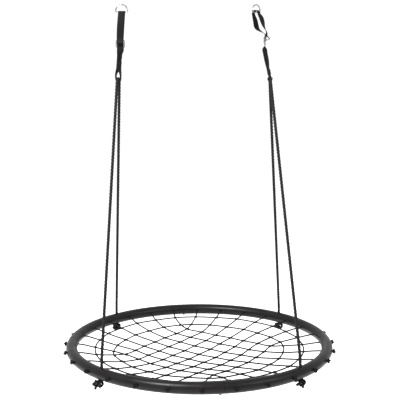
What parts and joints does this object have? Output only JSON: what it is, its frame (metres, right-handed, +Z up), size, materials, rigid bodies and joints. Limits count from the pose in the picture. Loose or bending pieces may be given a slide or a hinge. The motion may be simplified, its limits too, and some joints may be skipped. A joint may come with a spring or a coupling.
{
  "type": "saucer nest swing",
  "caption": "Round net seat in a tubular rim, hung on two rope pairs from adjustable webbing straps with D-shaped hanging rings.",
  "frame": {"origin": "on the swing axis, the line through the bars of both hanging rings, above the centre of the seat", "axes": "+X along the line of the hanging rings to the right, +Y away from the viewer in the direction of swinging, +Z up"},
  "size_m": [1.0194, 1.0194, 1.3107],
  "materials": {
    "rim_paint": "satin black powder coat",
    "black_screw": "satin black",
    "net_cord": "braided polyester cord",
    "rope": "three-strand laid polyethylene rope",
    "webbing": "woven polypropylene webbing",
    "ring_steel": "bright zinc-plated steel wire"
  },
  "bodies": {
    "rings": {"left_hanging_ring": "ring_steel", "right_hanging_ring": "ring_steel"},
    "left_strap": {"left_webbing_strap": "webbing"},
    "right_strap": {"right_webbing_strap": "webbing"},
    "left_buckle": {"left_slide_buckle": "ring_steel", "left_webbing_end": "webbing"},
    "right_buckle": {"right_slide_buckle": "ring_steel", "right_webbing_end": "webbing"},
    "seat": {"rim_tube_1": "rim_paint", "rim_tube_2": "rim_paint", "rim_tube_3": "rim_paint", "rim_tube_4": "rim_paint", "rim_sleeve_1": "rim_paint", "rim_sleeve_2": "rim_paint", "rim_sleeve_3": "rim_paint", "rim_sleeve_4": "rim_paint", "rim_joint_screws": "black_screw", "net_cord_along_1": "net_cord", "net_cord_along_2": "net_cord", "net_cord_along_3": "net_cord", "net_cord_along_4": "net_cord", "net_cord_along_5": "net_cord", "net_cord_along_6": "net_cord", "net_cord_along_7": "net_cord", "net_cord_across_1": "net_cord", "net_cord_across_2": "net_cord", "net_cord_across_3": "net_cord", "net_cord_across_4": "net_cord", "net_cord_across_5": "net_cord", "net_cord_across_6": "net_cord", "net_cord_across_7": "net_cord", "net_outer_ring_cord": "net_cord", "net_inner_ring_cord": "net_cord", "net_crossing_knots": "net_cord", "net_end_knots": "net_cord", "left_rope": "rope", "right_rope": "rope", "front_left_rope_knot": "rope", "front_right_rope_knot": "rope", "back_left_rope_knot": "rope", "back_right_rope_knot": "rope"}
  },
  "joints": [
    {"name": "swing", "type": "hinge", "parent": "rings", "child": "left_strap", "pos_m": [0, 0, 0], "axis": [1, 0, 0], "range_deg": [-35, 35]},
    {"name": "right_swing", "type": "hinge", "parent": "rings", "child": "right_strap", "pos_m": [0, 0, 0], "axis": [1, 0, 0], "range_deg": [-35, 35]},
    {"name": "seat_rock", "type": "hinge", "parent": "left_strap", "child": "seat", "pos_m": [0, 0, -0.253], "axis": [1, 0, 0], "range_deg": [-20, 20]},
    {"name": "left_buckle_slide", "type": "slide", "parent": "left_strap", "child": "left_buckle", "axis": [0, 0, 1], "range_m": [-0.005, 0.004]},
    {"name": "right_buckle_slide", "type": "slide", "parent": "right_strap", "child": "right_buckle", "axis": [0, 0, 1], "range_m": [-0.005, 0.004]}
  ],
  "couplings": [
    {"joint": "right_swing", "follows": "swing", "ratio": 1}
  ]
}
